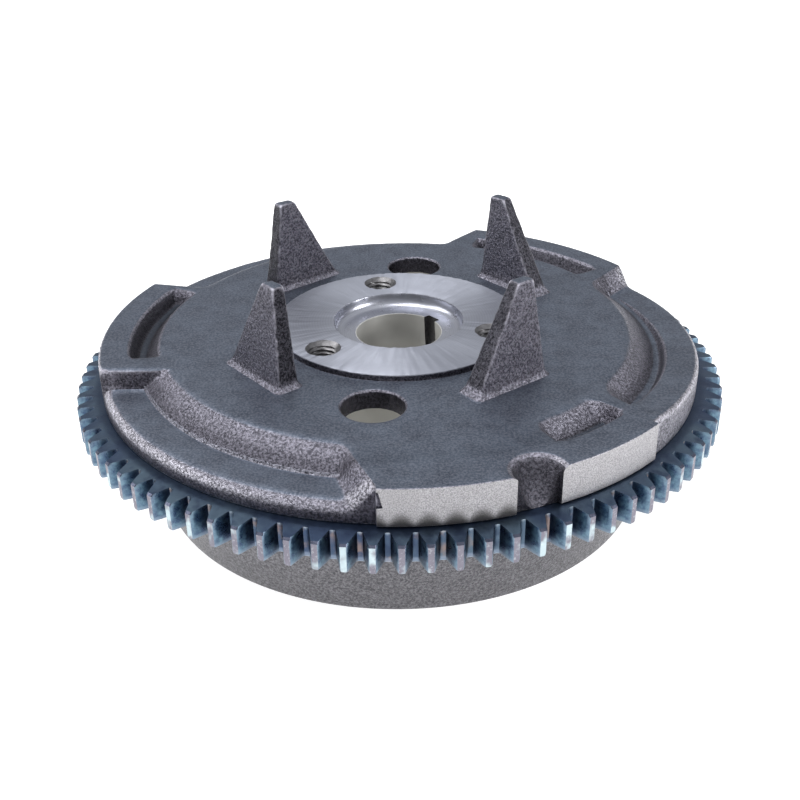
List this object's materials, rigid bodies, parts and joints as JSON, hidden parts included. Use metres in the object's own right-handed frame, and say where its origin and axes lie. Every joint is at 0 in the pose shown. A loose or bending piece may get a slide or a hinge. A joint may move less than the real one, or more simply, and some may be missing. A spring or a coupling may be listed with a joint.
{
  "type": "engine flywheel",
  "caption": "Cast-iron engine flywheel with a shrunk-on steel starter ring, keyed taper bore, tapped hub face, fan-locating posts and charging magnets inside the bell.",
  "frame": {"origin": "on the crankshaft axis, in the plane of the bell's open rim", "axes": "+Z along the crankshaft axis towards the fan side; -Y is the side where a tooth stands nearest the rim notch"},
  "size_m": [0.1905, 0.1904, 0.076],
  "materials": {
    "cast_iron": "as cast, with ground hub face and rim pads",
    "ring_steel": "machined, tinted blue by the shrinking heat",
    "cage_plastic": "moulded, matte",
    "magnet": "ground ferrite, matte"
  },
  "bodies": {
    "root": {"flywheel_casting": "cast_iron", "ring_gear": "ring_steel", "magnet_cage": "cage_plastic", "charge_magnet_01": "magnet", "charge_magnet_02": "magnet", "charge_magnet_03": "magnet", "charge_magnet_04": "magnet", "charge_magnet_05": "magnet", "charge_magnet_06": "magnet", "charge_magnet_07": "magnet", "charge_magnet_08": "magnet", "charge_magnet_09": "magnet", "charge_magnet_10": "magnet", "charge_magnet_11": "magnet", "charge_magnet_12": "magnet"}
  },
  "joints": []
}
